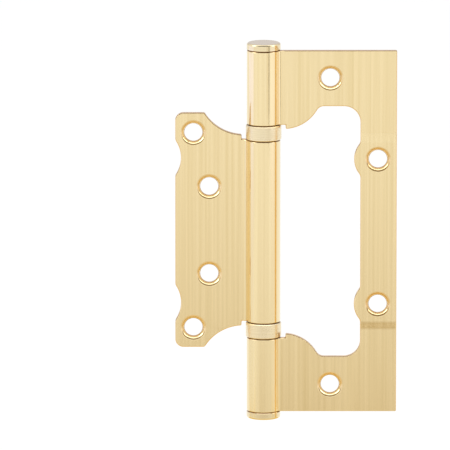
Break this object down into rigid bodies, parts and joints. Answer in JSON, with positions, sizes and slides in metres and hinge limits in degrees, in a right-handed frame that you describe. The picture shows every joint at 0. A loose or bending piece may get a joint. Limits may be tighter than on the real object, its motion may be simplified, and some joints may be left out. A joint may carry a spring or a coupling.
{
  "type": "non-mortise hinge",
  "caption": "Door hinge whose small leaf folds into a window in the large leaf, so it is screwed on with no recess; the pin runs on ball thrust bearings.",
  "frame": {"origin": "on the axis of the pin, halfway up; the back of the outer leaf and the front of the open inner leaf lie in the plane of the axis", "axes": "+Z along the pin, upwards; +X towards the edge of the outer leaf; -Y out of the front, the countersunk side; the inner leaf lies open flat towards -X"},
  "size_m": [0.0754, 0.012, 0.13],
  "materials": {
    "leaf_finish": "steel sheet plated pale gold, brushed along the pin and lacquered to a satin sheen",
    "cap_finish": "turned, polished and plated pale gold",
    "bearing_finish": "turned and plated pale gold, finely matte, with bright rims",
    "pin_steel": "bright drawn steel, greased",
    "bearing_steel": "ground bearing steel",
    "cage_brass": "stamped brass"
  },
  "bodies": {
    "frame_side": {"outer_leaf": "leaf_finish", "pin": "pin_steel", "top_cap": "cap_finish", "bottom_cap": "cap_finish", "upper_bearing_case": "bearing_finish", "upper_bearing_fixed_race": "bearing_steel", "lower_bearing_case": "bearing_finish", "lower_bearing_fixed_race": "bearing_steel"},
    "door_side": {"inner_leaf": "leaf_finish", "upper_bearing_turning_race": "bearing_steel", "lower_bearing_turning_race": "bearing_steel"},
    "upper_ball_ring": {"upper_bearing_cage": "cage_brass", "upper_ball_1": "bearing_steel", "upper_ball_2": "bearing_steel", "upper_ball_3": "bearing_steel", "upper_ball_4": "bearing_steel", "upper_ball_5": "bearing_steel", "upper_ball_6": "bearing_steel", "upper_ball_7": "bearing_steel", "upper_ball_8": "bearing_steel", "upper_ball_9": "bearing_steel", "upper_ball_10": "bearing_steel", "upper_ball_11": "bearing_steel", "upper_ball_12": "bearing_steel"},
    "lower_ball_ring": {"lower_bearing_cage": "cage_brass", "lower_ball_1": "bearing_steel", "lower_ball_2": "bearing_steel", "lower_ball_3": "bearing_steel", "lower_ball_4": "bearing_steel", "lower_ball_5": "bearing_steel", "lower_ball_6": "bearing_steel", "lower_ball_7": "bearing_steel", "lower_ball_8": "bearing_steel", "lower_ball_9": "bearing_steel", "lower_ball_10": "bearing_steel", "lower_ball_11": "bearing_steel", "lower_ball_12": "bearing_steel"}
  },
  "joints": [
    {"name": "leaf_swing", "type": "hinge", "parent": "frame_side", "child": "door_side", "pos_m": [0, 0, 0], "axis": [0, 0, 1], "continuous": true},
    {"name": "upper_ball_travel", "type": "hinge", "parent": "frame_side", "child": "upper_ball_ring", "pos_m": [0, 0, 0.03422], "axis": [0, 0, 1], "continuous": true},
    {"name": "lower_ball_travel", "type": "hinge", "parent": "frame_side", "child": "lower_ball_ring", "pos_m": [0, 0, -0.03422], "axis": [0, 0, 1], "continuous": true}
  ],
  "couplings": [
    {"joint": "upper_ball_travel", "follows": "leaf_swing", "ratio": 0.5},
    {"joint": "lower_ball_travel", "follows": "leaf_swing", "ratio": 0.5}
  ]
}
